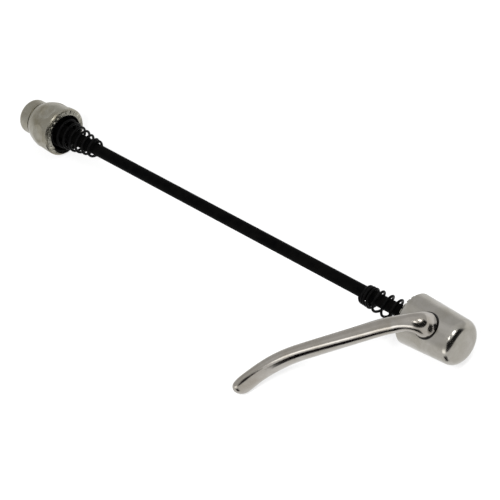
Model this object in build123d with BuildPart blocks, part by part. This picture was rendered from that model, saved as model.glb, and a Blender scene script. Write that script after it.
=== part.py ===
from build123d import *
import os
from math import asin, atan2, cos, degrees, hypot, radians, sin, sqrt

os.makedirs("parts", exist_ok=True)

# A quick release skewer for a rear bicycle hub, in millimetres, lying open as it comes to rest.
# The origin is the centre of the head's clamp face, on the axis of the rod.
# +X runs along the rod from the adjusting nut to the head, and +Z is up.

# Rod
clamp_span = 166.0  # from one clamp face to the other, as the nut is set here
shank_diameter = 4.3
thread_diameter = 4.9  # crests of the rolled M5 thread
thread_length = 33.0
rod_point = 0.6  # chamfer at the threaded end

# Head housing
head_length = 21.5
head_face_diameter = 17.2
head_end_diameter = 15.1  # at the closed end, before it is rounded off
head_end_round = 3.3
rim_edge = 0.4  # chamfer round the mouths of the head and the nut
pivot_distance = 10.5  # clamp face to the axis that the lever turns on
far_wall = 1.5  # between the bore and the flat under the tail washer
spot_face_room = 0.25  # round the corners of the cap nut

# Cam follower, which slides in the head and carries the rod
follower_diameter = 10.6
follower_sink = 1.2  # clamp face to the follower, where the head spring sits
follower_end_wall = 3.2
follower_chamfer = 0.5
socket_wall = 0.3  # left between the end of the rod and the cam slot
bore_end_room = 0.5  # beyond the follower when the lever is closed

# Cam shaft, forged in one piece with the lever
cam_throw = 0.95
cam_diameter = 5.8
lever_swing = 222  # degrees from this open rest to dead centre, where the skewer is closed

# Lever arm. Its plan angles turn from the axis of the rod, outwards from the head being 0.
arm_clearance = 1.0  # arm to the widest rim of the head
boss_step = 0.15  # forged boss over the turned journal
elbow_room = 0.3  # bend radius of the elbow over the radius of the boss
root_angle, blade_angle, tip_angle = 149.0, 139.5, 111.0
root_length, blade_length, tip_length = 15.0, 26.0, 27.0
root_half_height, blade_half_height, tip_half_height = 3.1, 4.25, 4.1
root_half_width, blade_half_width, tip_half_width = 2.6, 2.35, 2.1
tip_round_length = 3.2

# Pieces on the cam shaft
bush_wall = 0.48
bush_sink = 1.35  # below the crown of the head
washer_diameter = 7.6
washer_thickness = 0.5
washer_dish = 0.2
cap_nut_flats = 7.0
cap_nut_hex = 2.3
cap_nut_height = 4.0
cap_nut_step = 0.25  # from the hexagon in to the foot of the dome
cap_nut_wall = 1.1

# Adjusting nut
nut_length = 19.3
nut_skirt_diameter = 17.8
nut_skirt_length = 5.2
nut_neck_diameter = 13.4
nut_neck_distance = 13.0
nut_nose_diameter = 12.7
nut_nose_round = 2.1
nut_groove_width = 0.8
nut_groove_depth = 0.3
nut_recess_diameter = 13.5
nut_recess_depth = 5.0
finger_dents = 6
dent_radius = 7.0
dent_depth = 0.7
dent_distance = 5.5
insert_diameter = 8.0
insert_length = 3.0
insert_sink = 0.5
rod_sink = 0.8  # nose of the nut to the end of the rod

# Clamp rings, pressed into the head and the nut
rim_wall = 0.7  # of the head and the nut, outside their rings
ring_thickness = 2.0
ring_stands_out = 0.5
ring_step = 0.35  # ring bore to the bore of the head
teeth = 24
tooth_gap = 0.9
tooth_depth = 0.4
tooth_taper = 40
tooth_land = 0.45  # plain inner edge that the gaps stop short of

# Springs
wire_diameter = 0.75
head_spring_length = 21.0
head_spring_turns = 5.5
head_spring_inset = 0.6  # wire to the edge of the follower
nut_spring_length = 22.0
nut_spring_turns = 8.0
nut_spring_inset = 0.35  # wire to the wall of the recess

# Clearances, on the radius or between faces
running_clearance = 0.05
thread_clearance = 0.05
spring_clearance = 0.08
seat_clearance = 0.1

# Sizes that follow from the ones above
half_wire = wire_diameter / 2
head_radius = head_face_diameter / 2
head_taper = (head_face_diameter - head_end_diameter) / 2 / head_length
crown_radius = head_radius - head_taper * pivot_distance
nut_skirt_radius = nut_skirt_diameter / 2
nut_mouth = -clamp_span
nut_nose = -clamp_span - nut_length
follower_radius = follower_diameter / 2
slide_radius = follower_radius + running_clearance
spot_face_depth = slide_radius + far_wall
spot_face_diameter = 2 * (cap_nut_flats / sqrt(3) + spot_face_room)
head_ring_bore = 2 * (slide_radius + ring_step)
spring_small_radius = thread_diameter / 2 + spring_clearance + half_wire
head_spring_large_radius = follower_radius - head_spring_inset - half_wire
nut_spring_large_radius = nut_recess_diameter / 2 - nut_spring_inset - half_wire

# The lever goes into the head as one piece, so its tail fits inside the outline of the cam,
# and the journal is as wide as the cam's sweep.
journal_diameter = 2 * (cam_diameter / 2 + cam_throw + running_clearance)
tail_diameter = 2 * (cam_diameter / 2 - cam_throw - running_clearance)
bush_radius = journal_diameter / 2 + running_clearance + bush_wall
boss_radius = journal_diameter / 2 + boss_step
elbow_radius = boss_radius + elbow_room
arm_height = head_radius + arm_clearance + root_half_height
elbow_start = arm_height - elbow_radius

# The cam turns once with the lever, and the rod slides by the same amount for each degree.
# The cam slot is longer along the rod by what the two differ.
closing_lift = cam_throw * (1 - cos(radians(lever_swing)))
lift_per_radian = closing_lift / radians(lever_swing)
cam_offset = [
    cam_throw * cos(radians(lever_swing - turn)) - lift_per_radian * radians(turn)
    for turn in range(lever_swing + 1)
]
slot_end = max(cam_offset) + cam_diameter / 2 + running_clearance
slot_start = min(cam_offset) - cam_diameter / 2 - running_clearance
slot_half_width = cam_throw + cam_diameter / 2 + running_clearance
follower_end = pivot_distance + slot_end + follower_end_wall
rod_head_end = pivot_distance + slot_start - socket_wall
rod_nut_end = nut_nose + rod_sink
bore_depth = follower_end + closing_lift + bore_end_room

# The far side of the cam shaft, measured from the axis of the rod
washer_top = spot_face_depth + running_clearance
washer_height = washer_thickness + washer_dish
cap_nut_seat = washer_top + washer_height
cap_nut_top = cap_nut_seat + cap_nut_height
tail_end = cap_nut_top - cap_nut_wall


def plan_step(angle_from, angle_to, length):
    """How far a plan curve of this length goes outwards and sideways, for a slow turn."""
    turn = radians(angle_to - angle_from)
    middle = radians((angle_from + angle_to) / 2)
    chord = length if turn == 0 else length * sin(turn / 2) / (turn / 2)
    return chord * cos(middle), chord * sin(middle)


# The skewer lies on its cap nut, its lever tip and the rim of its adjusting nut.
# That sets how far the lever's axis leans from the vertical.
plan_steps = [
    plan_step(root_angle, blade_angle, root_length),
    plan_step(blade_angle, blade_angle, blade_length),
    plan_step(blade_angle, tip_angle, tip_length - tip_round_length),
]
tip_side = sum(step[1] for step in plan_steps)
tip_along = pivot_distance + sum(step[0] for step in plan_steps)
cap_corner = cap_nut_flats / 4
lean = asin(min(1, arm_height / tip_side))
for _ in range(20):
    cap_low = cap_nut_top * cos(lean) + cap_corner * sin(lean)
    floor_slope = (cap_low - nut_skirt_radius) / (pivot_distance + clamp_span)
    tip_low = cap_low - floor_slope * (pivot_distance - tip_along)
    tip_support = hypot(tip_half_height * cos(lean), tip_half_width * sin(lean))
    lean = asin((arm_height * cos(lean) + tip_low - tip_support) / tip_side)

# Plane of the lever's axis: its normal is that axis, its X is the rod and its Y is the side away from the arm
lever_axis = Vector(0, -sin(lean), cos(lean))
pivot_plane = Plane(origin=(pivot_distance, 0, 0), x_dir=(1, 0, 0), z_dir=lever_axis)
cam_angle = -lever_swing


def cam_plane(height):
    """A plane across the cam shaft at this height, its origin on the cam's own centre."""
    throw = Vector(cam_throw * cos(radians(cam_angle)), cam_throw * sin(radians(cam_angle)))
    return pivot_plane.offset(height).shift_origin(
        pivot_plane.offset(height).from_local_coords(throw)
    )


# Head housing: a tapered barrel, bored for the follower and crossed by the cam shaft
with BuildPart() as head_housing:
    with BuildSketch(Plane.XY) as barrel_profile:
        with BuildLine():
            Polyline(
                (ring_stands_out, 0),
                (ring_stands_out, head_radius - rim_edge),
                (ring_stands_out + rim_edge, head_radius),
                (head_length, head_end_diameter / 2),
                (head_length, 0),
                close=True,
            )
        make_face()
        far_corner = barrel_profile.vertices().group_by(Axis.X)[-1].sort_by(Axis.Y)[-1]
        fillet(far_corner, radius=head_end_round)
    revolve(axis=Axis.X)
    with BuildSketch(Plane.YZ.offset(ring_stands_out)):
        Circle(head_radius - rim_wall)
    extrude(amount=ring_thickness - ring_stands_out, mode=Mode.SUBTRACT)
    with BuildSketch(Plane.YZ):
        Circle(slide_radius)
    extrude(amount=bore_depth, mode=Mode.SUBTRACT)
    with BuildSketch(pivot_plane):
        Circle(bush_radius)
    extrude(amount=head_radius, mode=Mode.SUBTRACT)
    with BuildSketch(pivot_plane):
        Circle(cam_throw + cam_diameter / 2 + running_clearance)
    extrude(amount=-slide_radius, mode=Mode.SUBTRACT)
    with BuildSketch(pivot_plane):
        Circle(tail_diameter / 2 + running_clearance)
    extrude(amount=-head_radius, mode=Mode.SUBTRACT)
    with BuildSketch(pivot_plane.offset(-spot_face_depth)):
        Circle(spot_face_diameter / 2)
    extrude(amount=-head_radius, mode=Mode.SUBTRACT)
head_housing.part.label = "head_housing"
export_step(head_housing.part, "parts/head_housing.step")


def clamp_ring(face_x, inwards, outer_radius, bore_diameter):
    """A steel ring whose toothed face lies at face_x, its body running along inwards on X."""
    face_plane = Plane(origin=(face_x, 0, 0), x_dir=(0, 1, 0), z_dir=(inwards, 0, 0))
    bore_radius = bore_diameter / 2
    gap_start = bore_radius + tooth_land
    gap_length = outer_radius - gap_start + tooth_gap
    with BuildPart() as ring:
        with BuildSketch(face_plane):
            Circle(outer_radius)
            Circle(bore_radius, mode=Mode.SUBTRACT)
        extrude(amount=ring_thickness)
        with BuildSketch(face_plane):
            with PolarLocations(gap_start + gap_length / 2, teeth):
                Rectangle(gap_length, tooth_gap)
        extrude(amount=tooth_depth, taper=tooth_taper, mode=Mode.SUBTRACT)
    return ring.part


head_clamp_ring = clamp_ring(0, 1, head_radius - rim_wall, head_ring_bore)
head_clamp_ring.label = "head_clamp_ring"
export_step(head_clamp_ring, "parts/head_clamp_ring.step")

nut_clamp_ring = clamp_ring(nut_mouth, -1, nut_skirt_radius - rim_wall, nut_recess_diameter)
nut_clamp_ring.label = "nut_clamp_ring"
export_step(nut_clamp_ring, "parts/nut_clamp_ring.step")

# Bush: a plain black sleeve in the near wall of the head, round the lever's journal
with BuildPart() as lever_bush:
    with BuildSketch(pivot_plane.offset(slide_radius)):
        Circle(bush_radius)
        Circle(bush_radius - bush_wall, mode=Mode.SUBTRACT)
    extrude(amount=crown_radius - bush_sink - slide_radius)
    with BuildSketch(Plane.YZ):
        Circle(slide_radius)
    extrude(amount=bore_depth, mode=Mode.SUBTRACT)
lever_bush.part.label = "lever_bush"
export_step(lever_bush.part, "parts/lever_bush.step")

# Rod: a plain shank with a rolled thread at the nut end, fixed in the follower at the other
with BuildPart() as skewer_rod:
    with BuildSketch(Plane.XY):
        with BuildLine():
            Polyline(
                (rod_nut_end, 0),
                (rod_nut_end, thread_diameter / 2 - rod_point),
                (rod_nut_end + rod_point, thread_diameter / 2),
                (rod_nut_end + thread_length, thread_diameter / 2),
                (rod_nut_end + thread_length + rod_point, shank_diameter / 2),
                (rod_head_end, shank_diameter / 2),
                (rod_head_end, 0),
                close=True,
            )
        make_face()
    revolve(axis=Axis.X)
skewer_rod.part.label = "skewer_rod"
export_step(skewer_rod.part, "parts/skewer_rod.step")

# Cam follower: a plug with an oval slot for the cam and a socket for the rod
with BuildPart() as cam_follower:
    with BuildSketch(Plane.YZ.offset(follower_sink)):
        Circle(follower_radius)
    extrude(amount=follower_end - follower_sink)
    chamfer(cam_follower.edges().filter_by(GeomType.CIRCLE), length=follower_chamfer)
    with BuildSketch(Plane.YZ.offset(follower_sink)):
        Circle(shank_diameter / 2)
    extrude(amount=rod_head_end - follower_sink, mode=Mode.SUBTRACT)
    with BuildSketch(pivot_plane):
        with Locations(((slot_start + slot_end) / 2, 0)):
            slot_length = slot_end - slot_start
            RectangleRounded(slot_length, 2 * slot_half_width, slot_length / 2 - running_clearance)
    extrude(amount=follower_diameter, both=True, mode=Mode.SUBTRACT)
cam_follower.part.label = "cam_follower"
export_step(cam_follower.part, "parts/cam_follower.step")

# Lever: the cam shaft turns through an elbow into a curved, tapering blade
root_direction = (
    pivot_plane.x_dir * cos(radians(root_angle)) - pivot_plane.y_dir * sin(radians(root_angle))
)
elbow_plane = Plane(
    origin=pivot_plane.origin, x_dir=root_direction, z_dir=root_direction.cross(lever_axis)
)
arm_plane = pivot_plane.offset(arm_height)
with BuildLine(elbow_plane) as elbow_line:
    RadiusArc((0, elbow_start), (elbow_radius, arm_height), elbow_radius)
with BuildLine(Plane.XY) as plan_line:
    root_tangent = Vector(cos(radians(root_angle)), -sin(radians(root_angle)))
    root_arc = JernArc(
        start=root_tangent * elbow_radius,
        tangent=root_tangent,
        radius=(root_length - elbow_radius) / radians(root_angle - blade_angle),
        arc_size=root_angle - blade_angle,
    )
    blade_line = PolarLine(root_arc @ 1, blade_length, angle=-blade_angle)
    JernArc(
        start=blade_line @ 1,
        tangent=blade_line % 1,
        radius=tip_length / radians(blade_angle - tip_angle),
        arc_size=blade_angle - tip_angle,
    )

elbow_path = elbow_line.wires()[0]
arm_path = plan_line.wires()[0].moved(arm_plane.location)
arm_length = arm_path.length
taper_length = root_length + blade_length


def blended(start, end, share):
    """A size part of the way from start to end, with a soft start and finish."""
    share = min(max(share, 0), 1)
    return start + (end - start) * share * share * (3 - 2 * share)


def blade_section(distance):
    """Half width and half height of the arm at this distance along its plan line."""
    half_width = blended(root_half_width, blade_half_width, distance / taper_length)
    half_height = blended(root_half_height, blade_half_height, distance / taper_length)
    towards_tip = (distance - taper_length) / (arm_length - taper_length)
    half_width = blended(half_width, tip_half_width, towards_tip)
    half_height = blended(half_height, tip_half_height, towards_tip)
    return half_width, half_height


tip_start = arm_length - tip_round_length
blade_stations = [0, 0.06, 0.12, 0.19, 0.28, 0.4, 0.55, 0.7, 0.82, 0.93, 1]  # shares of the way there
tip_roundings = [25, 45, 62, 76, 86]  # degrees round the blunt end

with BuildPart() as lever:
    for share in (0, 0.33, 0.67):
        section_plane = Plane(
            origin=elbow_path @ share, x_dir=elbow_plane.z_dir, z_dir=elbow_path % share
        )
        with BuildSketch(section_plane):
            Ellipse(
                blended(boss_radius, root_half_width, share),
                blended(boss_radius, root_half_height, share),
            )
    for station in blade_stations:
        distance = station * tip_start
        tangent = arm_path % (distance / arm_length)
        section_plane = Plane(
            origin=arm_path @ (distance / arm_length),
            x_dir=tangent.cross(lever_axis),
            z_dir=tangent,
        )
        with BuildSketch(section_plane):
            Ellipse(*blade_section(distance))
    for rounding in tip_roundings:
        distance = tip_start + tip_round_length * sin(radians(rounding))
        tangent = arm_path % (distance / arm_length)
        half_width, half_height = blade_section(distance)
        shrink = cos(radians(rounding))
        section_plane = Plane(
            origin=arm_path @ (distance / arm_length),
            x_dir=tangent.cross(lever_axis),
            z_dir=tangent,
        )
        with BuildSketch(section_plane):
            Ellipse(half_width * shrink, half_height * shrink)
    loft()
    with BuildSketch(pivot_plane.offset(slide_radius)):
        Circle(journal_diameter / 2)
    extrude(amount=elbow_start - slide_radius)
    with BuildSketch(cam_plane(-follower_radius)):
        Circle(cam_diameter / 2)
    extrude(amount=follower_radius + slide_radius)
    with BuildSketch(pivot_plane.offset(-tail_end)):
        Circle(tail_diameter / 2)
    extrude(amount=tail_end - follower_radius)
lever.part.label = "lever"
export_step(lever.part, "parts/lever.step")

# Tail washer: a dished spring washer between the head and the cap nut
with BuildPart() as tail_washer:
    with BuildSketch(Plane(origin=pivot_plane.origin, x_dir=(1, 0, 0), z_dir=-pivot_plane.y_dir)):
        washer_bore = tail_diameter / 2 + running_clearance
        with BuildLine():
            Polyline(
                (washer_bore, -washer_top - washer_dish),
                (washer_diameter / 2, -washer_top),
                (washer_diameter / 2, -washer_top - washer_thickness),
                (washer_bore, -washer_top - washer_height),
                close=True,
            )
        make_face()
    revolve(axis=Axis(pivot_plane.origin, lever_axis))
tail_washer.part.label = "tail_washer"
export_step(tail_washer.part, "parts/tail_washer.step")

# Cap nut: a domed hexagon on the threaded tail of the cam shaft
with BuildPart() as cap_nut:
    with BuildSketch(pivot_plane.offset(-cap_nut_seat)):
        RegularPolygon(cap_nut_flats / 2, 6, major_radius=False)
    extrude(amount=-cap_nut_height)
    hex_end = cap_nut_seat + cap_nut_hex
    dome_radius = cap_nut_flats / 2 - cap_nut_step
    dome_foot = hex_end + cap_nut_step
    dome_height = cap_nut_top - dome_foot
    with BuildSketch(Plane(origin=pivot_plane.origin, x_dir=(1, 0, 0), z_dir=-pivot_plane.y_dir)):
        with BuildLine():
            Polyline(
                (0, -cap_nut_seat),
                (cap_nut_flats, -cap_nut_seat),
                (cap_nut_flats / sqrt(3), -hex_end),
                (dome_radius, -dome_foot),
            )
            ThreePointArc(
                (dome_radius, -dome_foot),
                (dome_radius * sin(radians(45)), -dome_foot - dome_height * cos(radians(45))),
                (0, -cap_nut_top),
            )
            Line((0, -cap_nut_top), (0, -cap_nut_seat))
        make_face()
    revolve(axis=Axis(pivot_plane.origin, lever_axis), mode=Mode.INTERSECT)
    with BuildSketch(pivot_plane.offset(-cap_nut_seat)):
        Circle(tail_diameter / 2 + thread_clearance)
    extrude(amount=-(tail_end - cap_nut_seat + thread_clearance), mode=Mode.SUBTRACT)
cap_nut.part.label = "cap_nut"
export_step(cap_nut.part, "parts/cap_nut.step")

# Adjusting nut: a bell with finger dents, a narrow nose and a deep mouth for its spring
neck_drop = nut_skirt_radius - nut_neck_diameter / 2
neck_run = nut_neck_distance - nut_skirt_length
bell_radius = (neck_run**2 + neck_drop**2) / (2 * neck_drop)
with BuildPart() as nut_body:
    with BuildSketch(Plane.XY) as nut_profile:
        with BuildLine():
            mouth_rim = nut_mouth - ring_stands_out
            skirt_end = nut_mouth - nut_skirt_length
            neck_x = nut_mouth - nut_neck_distance
            groove_radius = nut_nose_diameter / 2 - nut_groove_depth
            Polyline(
                (mouth_rim, 0),
                (mouth_rim, nut_skirt_radius - rim_edge),
                (mouth_rim - rim_edge, nut_skirt_radius),
                (skirt_end, nut_skirt_radius),
            )
            RadiusArc((skirt_end, nut_skirt_radius), (neck_x, nut_neck_diameter / 2), -bell_radius)
            Polyline(
                (neck_x, nut_neck_diameter / 2),
                (neck_x, groove_radius),
                (neck_x - nut_groove_width, groove_radius),
                (neck_x - nut_groove_width, nut_nose_diameter / 2),
                (nut_nose, nut_nose_diameter / 2),
                (nut_nose, 0),
                (mouth_rim, 0),
            )
        make_face()
        nose_corner = nut_profile.vertices().group_by(Axis.X)[0].sort_by(Axis.Y)[-1]
        fillet(nose_corner, radius=nut_nose_round)
    revolve(axis=Axis.X)
    with BuildSketch(Plane.YZ.offset(mouth_rim)):
        Circle(nut_skirt_radius - rim_wall)
    extrude(amount=-(ring_thickness - ring_stands_out), mode=Mode.SUBTRACT)
    with BuildSketch(Plane.YZ.offset(nut_mouth)):
        Circle(nut_recess_diameter / 2)
    extrude(amount=-nut_recess_depth, mode=Mode.SUBTRACT)
    with BuildSketch(Plane.YZ.offset(nut_mouth)):
        Circle(thread_diameter / 2 + thread_clearance)
    extrude(amount=-nut_length, mode=Mode.SUBTRACT)
    with BuildSketch(Plane.YZ.offset(nut_nose)):
        Circle(insert_diameter / 2)
    extrude(amount=insert_sink + insert_length, mode=Mode.SUBTRACT)
    dent_axis = nut_skirt_radius + dent_radius - dent_depth
    with BuildSketch(Plane.XZ) as dent_sketch:
        with Locations((nut_mouth - dent_distance, dent_axis)):
            Circle(dent_radius)
    for dent in range(finger_dents):
        turned = dent_sketch.sketch.rotate(Axis.X, dent * 360 / finger_dents)
        extrude(to_extrude=turned, amount=nut_skirt_radius, both=True, mode=Mode.SUBTRACT)
nut_body.part.label = "nut_body"
export_step(nut_body.part, "parts/nut_body.step")

# Locking insert: a nylon ring in the nose of the nut that grips the thread
with BuildPart() as nut_insert:
    with BuildSketch(Plane.YZ.offset(nut_nose + insert_sink)):
        Circle(insert_diameter / 2)
        Circle(thread_diameter / 2 + running_clearance, mode=Mode.SUBTRACT)
    extrude(amount=insert_length)
nut_insert.part.label = "nut_insert"
export_step(nut_insert.part, "parts/nut_insert.step")


def volute_spring(seat_x, direction, length, turns, large_radius):
    """A tapered wire spring from its large end at seat_x to its small end on the rod."""
    rise = length - wire_diameter
    start = Vector(seat_x + direction * half_wire, 0, 0)
    narrowing = degrees(atan2(large_radius - spring_small_radius, rise))
    with BuildPart() as spring:
        with BuildLine() as coil:
            Helix(
                pitch=rise / turns,
                height=rise,
                radius=large_radius,
                center=start,
                direction=(direction, 0, 0),
                cone_angle=-narrowing,
            )
        with BuildSketch(Plane(origin=coil.line @ 0, x_dir=(1, 0, 0), z_dir=coil.line % 0)):
            Circle(half_wire)
        sweep(path=coil.line, is_frenet=True)
    return spring.part


head_spring = volute_spring(
    follower_sink, -1, head_spring_length, head_spring_turns, head_spring_large_radius
)
head_spring.label = "head_spring"
export_step(head_spring, "parts/head_spring.step")

nut_spring = volute_spring(
    nut_mouth - nut_recess_depth + seat_clearance,
    1,
    nut_spring_length,
    nut_spring_turns,
    nut_spring_large_radius,
)
nut_spring.label = "nut_spring"
export_step(nut_spring, "parts/nut_spring.step")

print("lean", round(degrees(lean), 3), "lever axis", [round(v, 14) for v in lever_axis])
print("lift per radian", round(lift_per_radian, 9), "closing lift", round(closing_lift, 3))
print("floor slope", round(degrees(floor_slope), 3), "lowest at the cap nut", round(cap_low, 3))
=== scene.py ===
import math
import bpy
import numpy as np
from mathutils import Matrix, Vector


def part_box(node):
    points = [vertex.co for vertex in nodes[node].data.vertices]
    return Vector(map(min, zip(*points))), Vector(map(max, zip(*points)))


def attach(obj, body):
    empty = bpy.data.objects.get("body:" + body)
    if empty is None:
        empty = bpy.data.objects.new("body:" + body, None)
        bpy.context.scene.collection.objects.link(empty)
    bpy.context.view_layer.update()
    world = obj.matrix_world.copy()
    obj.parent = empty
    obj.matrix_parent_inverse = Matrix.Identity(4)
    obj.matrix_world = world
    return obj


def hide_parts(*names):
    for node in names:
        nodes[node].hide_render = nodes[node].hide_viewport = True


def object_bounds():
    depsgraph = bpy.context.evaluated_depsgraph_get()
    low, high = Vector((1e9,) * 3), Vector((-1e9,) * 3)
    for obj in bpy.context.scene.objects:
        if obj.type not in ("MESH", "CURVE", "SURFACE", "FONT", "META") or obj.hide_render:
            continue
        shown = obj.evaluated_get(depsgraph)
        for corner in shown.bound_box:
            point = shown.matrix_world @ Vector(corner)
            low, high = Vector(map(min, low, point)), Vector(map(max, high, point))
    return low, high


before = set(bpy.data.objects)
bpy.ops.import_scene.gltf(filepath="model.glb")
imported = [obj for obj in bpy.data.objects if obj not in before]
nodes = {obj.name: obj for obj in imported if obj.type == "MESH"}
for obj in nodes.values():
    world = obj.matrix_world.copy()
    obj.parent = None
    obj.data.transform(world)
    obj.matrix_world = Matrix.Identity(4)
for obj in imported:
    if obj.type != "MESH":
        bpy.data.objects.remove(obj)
cadLow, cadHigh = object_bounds()
scene = bpy.context.scene
print("frame loaded:", len(nodes), "CAD nodes")


# The photograph was taken from above the lever side, with the camera rolled over a little.
camera = {
    "place": (0.33987, -0.22112, 0.49647),
    "aim": (-0.06614, -0.00600, 0.0),
    "roll": -25.74,  # degrees, to the left
    "lens": 147.77,
    "sensor": 36.0,
    "clip": (0.01, 20),
}


def makeCamera(c):
    data = bpy.data.cameras.new("photoCamera")
    data.sensor_width = c["sensor"]
    data.lens = c["lens"]
    data.clip_start, data.clip_end = c["clip"]
    obj = bpy.data.objects.new("photoCamera", data)
    scene.collection.objects.link(obj)
    obj.location = c["place"]
    back = (Vector(c["place"]) - Vector(c["aim"])).normalized()
    side = Vector((0, 0, 1)).cross(back).normalized()
    level = back.cross(side)
    roll = math.radians(c["roll"])
    right = side * math.cos(roll) + level * math.sin(roll)
    up = back.cross(right)
    obj.rotation_mode = "QUATERNION"
    obj.rotation_quaternion = Matrix((right, up, back)).transposed().to_quaternion()
    scene.camera = obj


makeCamera(camera)
print("camera placed")


sharpAngle = math.radians(50)  # real edges bend more than this, everything flatter is smooth


def addPiece(name, verts, faces, node, body):
    # One mesh piece that stands for a CAD node and rides on its body.
    mesh = bpy.data.meshes.new(name)
    mesh.from_pydata([tuple(float(x) for x in v) for v in verts], [], faces)
    mesh.update()
    mesh.polygons.foreach_set("use_smooth", [True] * len(mesh.polygons))
    obj = bpy.data.objects.new(name, mesh)
    scene.collection.objects.link(obj)
    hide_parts(node)
    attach(obj, body)
    mesh.set_sharp_from_angle(angle=sharpAngle)
    return obj


def ringFaces(rows, around):
    # Quads between rows of points that go once round.
    faces = []
    for row in range(rows - 1):
        first, second = row * around, (row + 1) * around
        for k in range(around):
            n = (k + 1) % around
            faces.append((first + k, first + n, second + n, second + k))
    return faces


def tubeFaces(rows, around):
    # The same, closed with a flat face at each end.
    last = (rows - 1) * around
    ends = [tuple(reversed(range(around))), tuple(range(last, last + around))]
    return ringFaces(rows, around) + ends


def eased(share):
    # From nought to one with a soft start and a soft end.
    return share * share * (3 - 2 * share)


# The rod is black steel with a rolled thread at the nut end.
rod = {
    "shankRadius": 0.00215,
    "crestRadius": 0.00245,
    "rootRadius": 0.00206,
    "pitch": 0.0008,
    "rootFlat": 0.16,  # the flat at the root and the flank, as shares of half a pitch
    "flank": 0.66,
    "threadLength": 0.0330,
    "runOutTurns": 1.5,  # the thread gets shallow over its last turns
    "point": 0.0006,  # length of the chamfer at the end, and of the step down to the shank
    "threadStep": 0.00009,  # between rows of points on the thread
    "shankGap": 0.002,  # from the step down to the next row
    "shankRows": 60,
    "around": 64,
}


def makeRod(r):
    low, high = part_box("skewer_rod")
    start, end = low.x, high.x
    threadEnd = start + r["threadLength"]
    shankStart = threadEnd + r["point"] + r["shankGap"]
    angles = np.arange(r["around"]) * 2 * math.pi / r["around"]

    def threadRadius(x):
        # Distance from the axis all the way round at this place along the thread.
        phase = ((x - start) / r["pitch"] - angles / (2 * math.pi)) % 1.0
        ridge = eased(np.clip((np.abs(2 * phase - 1) - r["rootFlat"]) / r["flank"], 0, 1))
        runOut = min(1.0, (threadEnd - x) / (r["runOutTurns"] * r["pitch"]))
        depth = (r["crestRadius"] - r["rootRadius"]) * max(runOut, 0.0)
        cone = r["crestRadius"] - r["point"] + (x - start)
        return np.minimum(r["crestRadius"] - depth * (1 - ridge), cone)

    rows = [(x, threadRadius(x)) for x in np.arange(start, threadEnd, r["threadStep"])]
    plain = np.ones(r["around"])
    for share in (0.0, 0.2, 0.5, 0.8, 1.0):  # from the thread down to the shank
        radius = r["crestRadius"] + (r["shankRadius"] - r["crestRadius"]) * eased(share)
        rows.append((threadEnd + share * r["point"], plain * radius))
    for x in np.linspace(shankStart, end, r["shankRows"]):
        rows.append((x, plain * r["shankRadius"]))
    verts = []
    for x, radius in rows:
        verts += [(x, out * math.cos(a), out * math.sin(a)) for a, out in zip(angles, radius)]
    faces = tubeFaces(len(rows), r["around"])
    return addPiece("skewerRod", verts, faces, "skewer_rod", "rod")


# The springs are tapered coils of round wire that hang a little askew on the rod.
headSpring = {
    "wire": 0.00088,
    "turns": 8.0,
    "largeRadius": 0.00430,
    "smallRadius": 0.00300,
    "tightTurns": (0.3, 3.2),  # at the large end and at the small end
    "tightPitch": 0.0010,
    "lean": 0.0011,  # how far each loose turn leans along the rod
    "leanAngle": 60,  # from the Y axis, the side that leans towards the head
    "sag": 0.00036,  # how far the turns past the seat hang to the near side
    "startAngle": 140,
    "wobble": 0.00010,
}
nutSpring = {
    "wire": 0.00092,
    "turns": 8.0,
    "largeRadius": 0.00598,
    "smallRadius": 0.00294,
    "tightTurns": (0.4, 0.6),
    "tightPitch": 0.0010,
    "lean": 0.0008,
    "leanAngle": 90,
    "sag": 0.0,
    "startAngle": 60,
    "wobble": 0.00008,
}
# What both springs share.
coil = {
    "endInset": 0.00044,  # from each end of the CAD spring to the middle of the wire
    "opening": (0.6, 0.8),  # shares of the tight turns before they open and while they do
    "uneven": 0.06,  # share by which the pitch varies, as no two turns are quite alike
    "tightLean": 0.15,  # how much of the lean the tight turns keep
    "seated": 0.25,  # share of the length over which the seat holds the coil straight
    "endTurns": 0.8,  # the last of the wire closes square to the rod
    "sagAngle": 23,  # below the Y axis, as the camera sees the near side
    "endRounding": 0.18,  # of the wire's radius, at the cut ends
    "perTurn": 44,
    "sides": 16,
}


def coilPath(s, seatX, endX):
    # Centre line of the wire from its large end at seatX to its small end at endX.
    turn = np.linspace(0, s["turns"], int(s["turns"] * coil["perTurn"]) + 1)
    first, last = s["tightTurns"]
    shut, opening = coil["opening"]
    loose = np.clip((turn - first * shut) / (first * opening), 0, 1)
    loose = loose * np.clip((s["turns"] - last * shut - turn) / (last * opening), 0, 1)
    loose = eased(loose)
    length = abs(endX - seatX)
    speed = s["tightPitch"] * (1 - loose)
    rest = length - np.trapz(speed, turn)
    share = loose * (1 + coil["uneven"] * np.sin(turn * 2.1 + 0.7))
    speed = speed + share * rest / np.trapz(share, turn)
    along = np.concatenate([[0], np.cumsum((speed[1:] + speed[:-1]) / 2 * np.diff(turn))])
    radius = s["largeRadius"] + (s["smallRadius"] - s["largeRadius"]) * along / length
    radius = radius + s["wobble"] * np.sin(turn * 1.7 + 0.4) * loose
    direction = 1 if endX > seatX else -1
    angle = math.radians(s["startAngle"]) + direction * turn * 2 * math.pi
    hang = np.clip(along / (coil["seated"] * length), 0, 1)
    lean = s["lean"] * (coil["tightLean"] + (1 - coil["tightLean"]) * loose)
    lean = lean * np.clip(hang * 2, 0, 1)
    lean = lean * np.clip((s["turns"] - turn) / coil["endTurns"], 0, 1)
    sagAngle = math.radians(coil["sagAngle"])
    x = seatX + direction * along + lean * np.cos(angle - math.radians(s["leanAngle"]))
    y = radius * np.cos(angle) - s["sag"] * math.cos(sagAngle) * hang
    z = radius * np.sin(angle) - s["sag"] * math.sin(sagAngle) * hang
    return np.stack([x, y, z], 1)


def unit(vectors):
    return vectors / np.linalg.norm(vectors, axis=1)[:, None]


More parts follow.
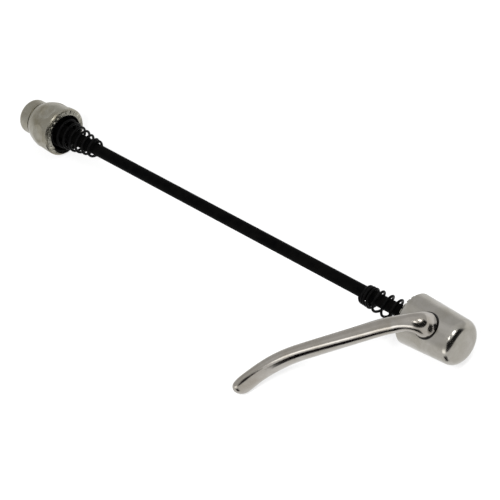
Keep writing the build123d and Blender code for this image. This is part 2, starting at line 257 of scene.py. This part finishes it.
def makeCoil(name, s, seatX, endX, node, body):
    path = coilPath(s, seatX, endX)
    tangent = unit(np.gradient(path, axis=0))
    outwards = unit(path * np.array([0, 1, 1]))
    outwards = unit(outwards - (outwards * tangent).sum(1)[:, None] * tangent)
    across = np.cross(tangent, outwards)
    radius = s["wire"] / 2
    edge = radius * coil["endRounding"]
    rows = [(path[0] - tangent[0] * edge, outwards[0], across[0], radius - edge)]
    rows += [(*row, radius) for row in zip(path, outwards, across)]
    rows.append((path[-1] + tangent[-1] * edge, outwards[-1], across[-1], radius - edge))
    ring = np.arange(coil["sides"]) * 2 * math.pi / coil["sides"]
    verts = []
    for centre, out, aside, reach in rows:
        verts += [centre + reach * (math.cos(a) * out + math.sin(a) * aside) for a in ring]
    return addPiece(name, verts, tubeFaces(len(rows), coil["sides"]), node, body)


skewerRod = makeRod(rod)
print("rod threaded")
springLow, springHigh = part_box("head_spring")
seatX, endX = springHigh.x - coil["endInset"], springLow.x + coil["endInset"]
headCoil = makeCoil("headSpring", headSpring, seatX, endX, "head_spring", "rod")
springLow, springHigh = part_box("nut_spring")
seatX, endX = springLow.x + coil["endInset"], springHigh.x - coil["endInset"]
nutCoil = makeCoil("nutSpring", nutSpring, seatX, endX, "nut_spring", "nut_carriage")
print("springs wound")


def addNode(tree, kind, x, y, **values):
    # A node at this place, with its inputs or else its settings given by name.
    made = tree.nodes.new(kind)
    made.location = (x, y)
    for key, value in values.items():
        if key in made.inputs:
            made.inputs[key].default_value = value
        else:
            setattr(made, key, value)
    return made


def mathNode(tree, operation, x, y, *values):
    made = tree.nodes.new("ShaderNodeMath")
    made.operation = operation
    made.location = (x, y)
    for socket, value in zip(made.inputs, values):
        if isinstance(value, (int, float)):
            socket.default_value = value
        else:
            tree.links.new(value, socket)
    return made.outputs[0]


def rampNode(tree, x, y, source, stops):
    made = tree.nodes.new("ShaderNodeValToRGB")
    made.location = (x, y)
    elements = made.color_ramp.elements
    while len(elements) < len(stops):
        elements.new(0.5)
    for element, (position, level) in zip(elements, stops):
        element.position = position
        element.color = (level, level, level, 1)
    tree.links.new(source, made.inputs["Fac"])
    return made.outputs["Color"]


def mixColour(tree, x, y, mask, first, second):
    made = tree.nodes.new("ShaderNodeMix")
    made.data_type = "RGBA"
    made.location = (x, y)
    tree.links.new(mask, made.inputs[0])
    for socket, value in ((made.inputs[6], first), (made.inputs[7], second)):
        if isinstance(value, tuple):
            socket.default_value = (*value, 1)
        else:
            tree.links.new(value, socket)
    return made.outputs[2]


def mixValue(tree, x, y, mask, first, second):
    made = addNode(tree, "ShaderNodeMapRange", x, y)
    tree.links.new(mask, made.inputs["Value"])
    made.inputs["To Min"].default_value = first
    made.inputs["To Max"].default_value = second
    return made.outputs["Result"]


def addBump(tree, x, y, height, distance, strength, below=None):
    made = addNode(tree, "ShaderNodeBump", x, y, Strength=strength, Distance=distance)
    tree.links.new(height, made.inputs["Height"])
    if below is not None:
        tree.links.new(below, made.inputs["Normal"])
    return made.outputs["Normal"]


def newGroup(name, inputs, outputs):
    tree = bpy.data.node_groups.new(name, "ShaderNodeTree")
    for label, default in inputs:
        socket = tree.interface.new_socket(
            name=label, in_out="INPUT", socket_type="NodeSocketFloat"
        )
        socket.default_value = default
    for label in outputs:
        tree.interface.new_socket(name=label, in_out="OUTPUT", socket_type="NodeSocketFloat")
    entry = addNode(tree, "NodeGroupInput", -1000, 0)
    leave = addNode(tree, "NodeGroupOutput", 900, 0)
    return tree, entry.outputs, leave.inputs


def placeGroup(tree, group, x, y, **values):
    made = tree.nodes.new("ShaderNodeGroup")
    made.node_tree = group
    made.location = (x, y)
    for key, value in values.items():
        made.inputs[key].default_value = value
    return made.outputs


def objectPlace(tree, y=0):
    return addNode(tree, "ShaderNodeTexCoord", -900, y).outputs["Object"]


def roundTheRod(tree, place):
    # The place split into its parts, and its distance from the rod's axis.
    parts = addNode(tree, "ShaderNodeSeparateXYZ", -720, 0)
    tree.links.new(place, parts.inputs[0])
    ySquare = mathNode(tree, "MULTIPLY", -540, -60, parts.outputs["Y"], parts.outputs["Y"])
    zSquare = mathNode(tree, "MULTIPLY", -540, -180, parts.outputs["Z"], parts.outputs["Z"])
    total = mathNode(tree, "ADD", -380, -120, ySquare, zSquare)
    return parts.outputs, mathNode(tree, "SQRT", -240, -120, total)


def makeEdgeWear():
    # Where plate is rubbed thin: along convex edges, broken up by noise.
    inputs = [("Radius", 0.0002), ("Breakup", 900.0), ("Amount", 1.0)]
    bendGain = 9.0  # fully worn where the two normals are 27 degrees apart or more
    patches = [(0.38, 0.1), (0.62, 1.0)]
    tree, given, out = newGroup("edgeWear", inputs, ["Edge"])
    bevel = addNode(tree, "ShaderNodeBevel", -800, 200, samples=6)
    tree.links.new(given["Radius"], bevel.inputs["Radius"])
    surface = addNode(tree, "ShaderNodeNewGeometry", -800, 0)
    dot = addNode(tree, "ShaderNodeVectorMath", -600, 100, operation="DOT_PRODUCT")
    tree.links.new(bevel.outputs["Normal"], dot.inputs[0])
    tree.links.new(surface.outputs["Normal"], dot.inputs[1])
    bend = mathNode(tree, "SUBTRACT", -420, 100, 1.0, dot.outputs["Value"])
    noise = addNode(tree, "ShaderNodeTexNoise", -600, -200, Detail=4.0, Roughness=0.6)
    tree.links.new(objectPlace(tree, -200), noise.inputs["Vector"])
    tree.links.new(given["Breakup"], noise.inputs["Scale"])
    patchy = rampNode(tree, -400, -200, noise.outputs["Fac"], patches)
    strong = mathNode(tree, "MULTIPLY", -220, 100, bend, bendGain)
    broken = mathNode(tree, "MULTIPLY", -60, 0, strong, patchy)
    scaled = mathNode(tree, "MULTIPLY", 120, 0, broken, given["Amount"])
    tree.links.new(mathNode(tree, "MINIMUM", 300, 0, scaled, 1.0), out["Edge"])
    return tree


def makeTurnedMarks():
    # Fine tool lines round the rod's axis, as a lathe and a polishing belt leave them.
    inputs = [("Fineness", 9000.0), ("Waviness", 300.0)]
    tree, given, out = newGroup("turnedMarks", inputs, ["Lines", "Waves"])
    place = objectPlace(tree)
    parts, radius = roundTheRod(tree, place)
    turned = addNode(tree, "ShaderNodeCombineXYZ", -80, 0)
    tree.links.new(parts["X"], turned.inputs["X"])
    tree.links.new(radius, turned.inputs["Y"])
    lines = addNode(tree, "ShaderNodeTexNoise", 120, 80, Detail=2.0, Roughness=0.55)
    tree.links.new(turned.outputs[0], lines.inputs["Vector"])
    tree.links.new(given["Fineness"], lines.inputs["Scale"])
    waves = addNode(tree, "ShaderNodeTexNoise", 120, -160, Detail=1.0, Roughness=0.4)
    tree.links.new(place, waves.inputs["Vector"])
    tree.links.new(given["Waviness"], waves.inputs["Scale"])
    tree.links.new(lines.outputs["Fac"], out["Lines"])
    tree.links.new(waves.outputs["Fac"], out["Waves"])
    return tree


def makeHandledFilm():
    # Finger film in soft patches, with specks of dust and tiny pits where it is thickest.
    inputs = [("Patches", 140.0), ("Specks", 1500.0)]
    softPatch = [(0.38, 0.0), (0.64, 1.0)]
    speckSize = [(0.05, 1.0), (0.14, 0.0)]
    thickFilm = [(0.52, 0.0), (0.60, 1.0)]
    tree, given, out = newGroup("handledFilm", inputs, ["Film", "Speck"])
    place = objectPlace(tree)
    film = addNode(tree, "ShaderNodeTexNoise", -600, 120, Detail=5.0, Roughness=0.62)
    film.inputs["Distortion"].default_value = 0.6
    tree.links.new(place, film.inputs["Vector"])
    tree.links.new(given["Patches"], film.inputs["Scale"])
    cells = addNode(tree, "ShaderNodeTexVoronoi", -600, -160, feature="F1")
    tree.links.new(place, cells.inputs["Vector"])
    tree.links.new(given["Specks"], cells.inputs["Scale"])
    dots = rampNode(tree, -380, -160, cells.outputs["Distance"], speckSize)
    some = rampNode(tree, -380, -400, film.outputs["Fac"], thickFilm)
    tree.links.new(rampNode(tree, -380, 120, film.outputs["Fac"], softPatch), out["Film"])
    tree.links.new(mathNode(tree, "MULTIPLY", -120, -260, dots, some), out["Speck"])
    return tree


# Painted shade in the mouth of the nut: near black, as the deep recess with its black spring
# looks. It reaches further out over the lower rim that lies on the floor.
mouthShade = {
    "front": -0.1662,  # along the rod's axis, just behind the nut's clamp face
    "back": -0.1722,
    "radius": 0.00675,
    "fade": 0.0003,
    "uneven": 0.0004,
    "runOut": 0.24,  # how much wider it gets for each metre below the axis
    "spreadForward": 0.5,  # and how far forward it comes for each metre of that
    "colour": (0.006, 0.006, 0.005),
    "rough": 0.3,
}


# Mask of the painted shade in the nut's mouth, wider below the rod's axis.
def makeMouthGrease(g):
    tree, given, out = newGroup("mouthGrease", [("Amount", 1.0)], ["Grease"])
    place = objectPlace(tree)
    parts, radius = roundTheRod(tree, place)
    noise = addNode(tree, "ShaderNodeTexNoise", -540, 200, Scale=1200.0, Detail=3.0)
    tree.links.new(place, noise.inputs["Vector"])
    uneven = mathNode(tree, "MULTIPLY", -340, 200, noise.outputs["Fac"], g["uneven"])
    below = mathNode(tree, "MULTIPLY", -340, 360, parts["Z"], -g["runOut"])
    spread = mathNode(tree, "MAXIMUM", -240, 360, below, 0.0)
    edge = mathNode(tree, "ADD", -100, 0, radius, uneven)
    inside = addNode(tree, "ShaderNodeMapRange", 80, 0)
    inside.inputs["From Min"].default_value = g["radius"]
    inside.inputs["From Max"].default_value = g["radius"] + g["fade"]
    inside.inputs["To Min"].default_value = 1.0
    inside.inputs["To Max"].default_value = 0.0
    tree.links.new(mathNode(tree, "SUBTRACT", -20, 0, edge, spread), inside.inputs["Value"])
    forward = mathNode(tree, "MULTIPLY", -140, 300, spread, g["spreadForward"])
    shifted = mathNode(tree, "SUBTRACT", -60, 260, parts["X"], forward)
    behind = mathNode(tree, "LESS_THAN", 80, 260, shifted, g["front"])
    ahead = mathNode(tree, "GREATER_THAN", 80, 420, parts["X"], g["back"])
    deep = mathNode(tree, "MULTIPLY", 280, 300, behind, ahead)
    mask = mathNode(tree, "MULTIPLY", 460, 100, deep, inside.outputs["Result"])
    tree.links.new(mathNode(tree, "MULTIPLY", 640, 0, mask, given["Amount"]), out["Grease"])
    return tree


edgeWear = makeEdgeWear()
turnedMarks = makeTurnedMarks()
handledFilm = makeHandledFilm()
mouthGrease = makeMouthGrease(mouthShade)
print("shader groups built")


def newMaterial(name):
    material = bpy.data.materials.new(name)
    material.use_nodes = True
    tree = material.node_tree
    return material, tree, tree.nodes["Principled BSDF"]


# Bright metal: rough is where it is clean and under film, lines and waves are bump strengths,
# and the last figure is how much painted shade the nut's mouth gets.
finishes = {
    "brightChrome": {
        "colour": (0.47, 0.45, 0.415),
        "film": (0.39, 0.37, 0.325),
        "rubbed": (0.42, 0.40, 0.36),
        "rough": (0.10, 0.19),
        "lines": 0.08,
        "waves": 0.30,
        "mouthShade": 0.0,
    },
    "forgedChrome": {
        "colour": (0.47, 0.445, 0.41),
        "film": (0.39, 0.36, 0.315),
        "rubbed": (0.42, 0.40, 0.36),
        "rough": (0.09, 0.16),
        "lines": 0.03,
        "waves": 0.35,
        "mouthShade": 0.0,
    },
    "satinChrome": {
        "colour": (0.39, 0.375, 0.32),
        "film": (0.27, 0.245, 0.18),
        "rubbed": (0.50, 0.48, 0.43),
        "rough": (0.20, 0.34),
        "lines": 0.22,
        "waves": 0.40,
        "mouthShade": 1.0,
    },
    "turnedSteel": {
        "colour": (0.36, 0.35, 0.30),
        "film": (0.22, 0.21, 0.17),
        "rubbed": (0.50, 0.48, 0.43),
        "rough": (0.22, 0.36),
        "lines": 0.35,
        "waves": 0.2,
        "mouthShade": 1.0,
    },
}
# What all bright metal shares.
metal = {
    "wear": {"Radius": 0.00022, "Breakup": 1400.0, "Amount": 0.8},
    "marks": {"Fineness": 7000.0, "Waviness": 260.0},
    "handled": {"Patches": 150.0, "Specks": 1300.0},
    "lineRough": 0.06,  # what tool lines and rubbed edges add to the roughness
    "rubbedRough": 0.12,
    "waveHeight": 0.00009,
    "lineHeight": 0.000004,
    "pitDepth": 0.00001,
    "pits": 0.5,
}


def makePlate(name, f):
    # Bright plate or bare steel: tint, film and wear change its colour and gloss.
    material, tree, shader = newMaterial(name)
    shader.inputs["Metallic"].default_value = 1.0
    wear = placeGroup(tree, edgeWear, -1100, 300, **metal["wear"])
    marks = placeGroup(tree, turnedMarks, -1100, 0, **metal["marks"])
    film = placeGroup(tree, handledFilm, -1100, -300, **metal["handled"])
    mouth = placeGroup(tree, mouthGrease, -1100, 600, Amount=f["mouthShade"])
    tint = mixColour(tree, -700, 300, film["Film"], f["colour"], f["film"])
    rubbed = mixColour(tree, -450, 300, wear["Edge"], tint, f["rubbed"])
    # Painted shade in the nut's mouth and over its lower rim darkens the colour here.
    shaded = mixColour(tree, -250, 400, mouth["Grease"], rubbed, mouthShade["colour"])
    tree.links.new(shaded, shader.inputs["Base Color"])
    rough = mixValue(tree, -700, 0, film["Film"], *f["rough"])
    lines = mathNode(tree, "MULTIPLY", -700, -160, marks["Lines"], metal["lineRough"])
    edges = mathNode(tree, "MULTIPLY", -700, -320, wear["Edge"], metal["rubbedRough"])
    dull = mathNode(tree, "MULTIPLY", -400, -200, mouth["Grease"], mouthShade["rough"])
    marked = mathNode(tree, "ADD", -560, -200, lines, edges)
    rough = mathNode(tree, "ADD", -450, -60, rough, marked)
    rough = mathNode(tree, "ADD", -300, -60, rough, dull)
    tree.links.new(rough, shader.inputs["Roughness"])
    wavy = addBump(tree, -500, -500, marks["Waves"], metal["waveHeight"], f["waves"])
    lined = addBump(tree, -300, -500, marks["Lines"], metal["lineHeight"], f["lines"], wavy)
    pitted = addBump(tree, -100, -500, film["Speck"], -metal["pitDepth"], metal["pits"], lined)
    tree.links.new(pitted, shader.inputs["Normal"])
    return material


# Black surfaces: relief is which marks stand out, how high and how strongly.
blacks = {
    "blackOxide": {
        "specular": 0.015,
        "colour": (0.0007, 0.0007, 0.0008),
        "film": (0.0018, 0.0017, 0.0016),
        "rough": (0.34, 0.52),
        "lineRough": 0.08,
        "marks": {"Fineness": 5000.0, "Waviness": 500.0},
        "handled": {"Patches": 260.0, "Specks": 2200.0},
        "wear": {"Radius": 0.00012, "Breakup": 2600.0, "Amount": 0.35},
        "rubbed": (0.03, 0.029, 0.028),
        "relief": ("Lines", 0.00001, 0.35),
        "pits": 0.5,
    },
    "wireLacquer": {
        "specular": 0.03,
        "colour": (0.0012, 0.0012, 0.0013),
        "film": (0.0028, 0.0027, 0.0027),
        "rough": (0.20, 0.38),
        "lineRough": 0.0,
        "marks": {"Fineness": 2600.0, "Waviness": 900.0},
        "handled": {"Patches": 420.0, "Specks": 2600.0},
        "relief": ("Waves", 0.00002, 0.35),
        "pits": 0.4,
    },
    "blackNylon": {
        "specular": 0.4,
        "colour": (0.012, 0.012, 0.012),
        "film": (0.020, 0.019, 0.018),
        "rough": (0.42, 0.60),
        "lineRough": 0.0,
        "marks": {"Fineness": 1800.0, "Waviness": 5200.0},
        "handled": {"Patches": 500.0, "Specks": 3600.0},
        "relief": ("Waves", 0.00002, 0.5),
        "pits": 0.0,
    },
}
blackPitDepth = 0.00002


def makeBlack(name, b):
    # Oxide, lacquer or nylon: film and marks on all, rubbed edges on the oxide only.
    material, tree, shader = newMaterial(name)
    shader.inputs["Specular IOR Level"].default_value = b["specular"]
    marks = placeGroup(tree, turnedMarks, -1100, 0, **b["marks"])
    film = placeGroup(tree, handledFilm, -1100, -300, **b["handled"])
    tint = mixColour(tree, -700, 300, film["Film"], b["colour"], b["film"])
    if "wear" in b:
        wear = placeGroup(tree, edgeWear, -1100, 300, **b["wear"])
        tint = mixColour(tree, -450, 300, wear["Edge"], tint, b["rubbed"])
    tree.links.new(tint, shader.inputs["Base Color"])
    rough = mixValue(tree, -700, 0, film["Film"], *b["rough"])
    lines = mathNode(tree, "MULTIPLY", -600, -120, marks["Lines"], b["lineRough"])
    tree.links.new(mathNode(tree, "ADD", -450, 0, rough, lines), shader.inputs["Roughness"])
    label, height, strength = b["relief"]
    relief = addBump(tree, -400, -400, marks[label], height, strength)
    pitted = addBump(tree, -200, -400, film["Speck"], -blackPitDepth, b["pits"], relief)
    tree.links.new(pitted, shader.inputs["Normal"])
    return material


materials = {name: makePlate(name, f) for name, f in finishes.items()}
materials.update({name: makeBlack(name, b) for name, b in blacks.items()})
surfaces = {
    "head_housing": "brightChrome",
    "cap_nut": "brightChrome",
    "lever": "forgedChrome",
    "nut_body": "satinChrome",
    "head_clamp_ring": "turnedSteel",
    "nut_clamp_ring": "turnedSteel",
    "cam_follower": "turnedSteel",
    "tail_washer": "turnedSteel",
    "lever_bush": "blackNylon",
    "nut_insert": "blackNylon",
}
for name, finish in surfaces.items():
    nodes[name].data.materials.clear()
    nodes[name].data.materials.append(materials[finish])
skewerRod.data.materials.append(materials["blackOxide"])
headCoil.data.materials.append(materials["wireLacquer"])
nutCoil.data.materials.append(materials["wireLacquer"])
print("materials given")


studio = {
    "floorWhite": 0.80,
    "floorRough": 0.9,
    "floorReach": 6.0,
    "whiteShare": 0.70,  # of the floor that is plain white to the camera, so shadows stay faint
    "worldLevel": 0.80,
    "lampDistance": 0.9,
    "domeRadius": 1.5,
    "domeTop": 89.5,  # degrees, the dome has a pinhole at each pole
    "domeAround": 96,
    "domeRows": 49,
    # How bright the dome is without its cards, from its lowest point to its highest.
    "domeLevels": [
        (0.0, 0.92), (0.25, 0.88), (0.46, 0.86), (0.52, 0.72),
        (0.60, 0.62), (0.80, 0.66), (1.0, 0.74),
    ],
}
# Azimuth and elevation in degrees, size in metres and power in watts.
lamps = {
    "keyLamp": (-53, 56, (0.20, 0.20), 7.0),
    "sideLamp": (19, 60, (0.16, 0.16), 5.0),
    "stripLamp": (-88, 15, (0.50, 0.05), 2.0),
}
# What the metal reflects: azimuth, elevation, width, height and softness in degrees, and level.
cards = {
    "backGrey": (168, 34, 130, 44, 14, 0.58),
    "farWhite": (75, -12, 60, 30, 14, 1.0),
    "nearStrip": (-84, -4, 30, 18, 8, 2.2),
    "endFlag": (-12, 16, 104, 46, 8, 0.02),
    "leverFlag": (-75, -41, 30, 29, 7, 0.0),
    "keySpot": (-47, 54, 16, 14, 3, 4.5),
    "sideSpot": (12, 57, 34, 20, 3, 4.0),
}


def makeFloor(s):
    # The open skewer lies on its cap nut, its lever tip and the rim of its adjusting nut.
    capLow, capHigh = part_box("cap_nut")
    nutLow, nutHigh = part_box("nut_body")
    pivotX = (capLow.x + capHigh.x) / 2
    slope = (nutLow.z - capLow.z) / (nutHigh.x - pivotX)
    reach = s["floorReach"]
    corners = [(-reach, -reach), (reach, -reach), (reach, reach), (-reach, reach)]
    places = [(x, y, capLow.z + slope * (x - pivotX)) for x, y in corners]
    mesh = bpy.data.meshes.new("floor")
    mesh.from_pydata(places, [], [(0, 1, 2, 3)])
    floor = bpy.data.objects.new("floor", mesh)
    scene.collection.objects.link(floor)
    floor.visible_glossy = False  # the metal sees the white dome below it in place of the floor
    material, tree, shader = newMaterial("paleFloor")
    level = s["floorWhite"]
    shader.inputs["Base Color"].default_value = (level, level, level, 1)
    shader.inputs["Roughness"].default_value = s["floorRough"]
    shader.inputs["Specular IOR Level"].default_value = 0.0
    glow = addNode(tree, "ShaderNodeEmission", 0, -250, Strength=1.0, Color=(1, 1, 1, 1))
    ray = addNode(tree, "ShaderNodeLightPath", -500, 100).outputs
    seen = mathNode(tree, "MAXIMUM", -300, 100, ray["Is Camera Ray"], ray["Is Transmission Ray"])
    blend = addNode(tree, "ShaderNodeMixShader", 250, 0)
    tree.links.new(mathNode(tree, "MULTIPLY", 0, 100, seen, s["whiteShare"]), blend.inputs[0])
    tree.links.new(shader.outputs[0], blend.inputs[1])
    tree.links.new(glow.outputs[0], blend.inputs[2])
    tree.links.new(blend.outputs[0], tree.nodes["Material Output"].inputs["Surface"])
    mesh.materials.append(material)


def makeWorld(s):
    world = bpy.data.worlds.new("studioWorld")
    scene.world = world
    world.use_nodes = True
    tree = world.node_tree
    background = tree.nodes["Background"]
    background.inputs["Color"].default_value = (1.0, 1.0, 1.0, 1)
    ray = addNode(tree, "ShaderNodeLightPath", -500, 0)
    level = mixValue(tree, -250, 0, ray.outputs["Is Camera Ray"], s["worldLevel"], 1.0)
    tree.links.new(level, background.inputs["Strength"])


def onDome(azimuth, elevation, radius):
    a, e = math.radians(azimuth), math.radians(elevation)
    return Vector((math.cos(a) * math.cos(e), math.sin(a) * math.cos(e), math.sin(e))) * radius


def cardMask(tree, y, azimuth, elevation, middle, height, width, tall, soft):
    # One where the dome faces this card, with soft edges.
    away = mathNode(tree, "SUBTRACT", -300, y, azimuth, math.radians(middle))
    sine = mathNode(tree, "SINE", -150, y, away)
    cosine = mathNode(tree, "COSINE", -150, y - 40, away)
    aside = mathNode(tree, "ABSOLUTE", 150, y, mathNode(tree, "ARCTAN2", 0, y, sine, cosine))
    above = mathNode(tree, "SUBTRACT", 0, y - 60, elevation, math.radians(height))
    above = mathNode(tree, "ABSOLUTE", 150, y - 60, above)
    masks = []
    for value, reach in ((aside, width / 2), (above, tall / 2)):
        fade = addNode(tree, "ShaderNodeMapRange", 300, y, interpolation_type="SMOOTHSTEP")
        fade.inputs["From Min"].default_value = math.radians(reach + soft / 2)
        fade.inputs["From Max"].default_value = math.radians(reach - soft / 2)
        tree.links.new(value, fade.inputs["Value"])
        masks.append(fade.outputs["Result"])
    return mathNode(tree, "MULTIPLY", 450, y, *masks)


def makeCards(s):
    # White, grey and black cards all round the set. Only the metal sees them.
    radius, around, rows = s["domeRadius"], s["domeAround"], s["domeRows"]
    verts = []
    for elevation in np.linspace(-s["domeTop"], s["domeTop"], rows):
        verts += [onDome(360 * k / around, elevation, radius) for k in range(around)]
    mesh = bpy.data.meshes.new("studioCards")
    mesh.from_pydata(verts, [], ringFaces(rows, around))
    mesh.polygons.foreach_set("use_smooth", [True] * len(mesh.polygons))
    dome = bpy.data.objects.new("studioCards", mesh)
    scene.collection.objects.link(dome)
    dome.visible_camera = False
    dome.visible_diffuse = False
    dome.visible_shadow = False
    dome.visible_transmission = False
    dome.visible_volume_scatter = False
    material, tree, shader = newMaterial("studioCards")
    tree.nodes.remove(shader)
    parts = addNode(tree, "ShaderNodeSeparateXYZ", -720, 0)
    tree.links.new(objectPlace(tree), parts.inputs[0])
    azimuth = mathNode(tree, "ARCTAN2", -500, 100, parts.outputs["Y"], parts.outputs["X"])
    height = mathNode(tree, "DIVIDE", -500, -100, parts.outputs["Z"], radius)
    elevation = mathNode(tree, "ARCSINE", -350, -100, height)
    share = mathNode(tree, "MULTIPLY_ADD", -350, -300, height, 0.5, 0.5)
    colour = rampNode(tree, -150, -300, share, s["domeLevels"])
    for index, (*shape, level) in enumerate(cards.values()):
        mask = cardMask(tree, -500 - 200 * index, azimuth, elevation, *shape)
        colour = mixColour(tree, 650 + 150 * index, 0, mask, colour, (level, level, level))
    glow = addNode(tree, "ShaderNodeEmission", 1800, 0, Strength=1.0)
    tree.links.new(colour, glow.inputs["Color"])
    tree.links.new(glow.outputs[0], tree.nodes["Material Output"].inputs["Surface"])
    mesh.materials.append(material)


def addLamp(name, aim, azimuth, elevation, size, power):
    data = bpy.data.lights.new(name, "AREA")
    data.shape = "RECTANGLE"
    data.size, data.size_y = size
    data.energy = power
    obj = bpy.data.objects.new(name, data)
    scene.collection.objects.link(obj)
    away = onDome(azimuth, elevation, studio["lampDistance"])
    obj.location = aim + away
    obj.rotation_mode = "QUATERNION"
    obj.rotation_quaternion = (-away).to_track_quat("-Z", "Y")
    obj.visible_glossy = False  # the cards stand for its reflection


makeFloor(studio)
makeWorld(studio)
makeCards(studio)
for name, lamp in lamps.items():
    addLamp(name, (cadLow + cadHigh) / 2, *lamp)
scene.view_settings.view_transform = "Standard"
print("studio set")
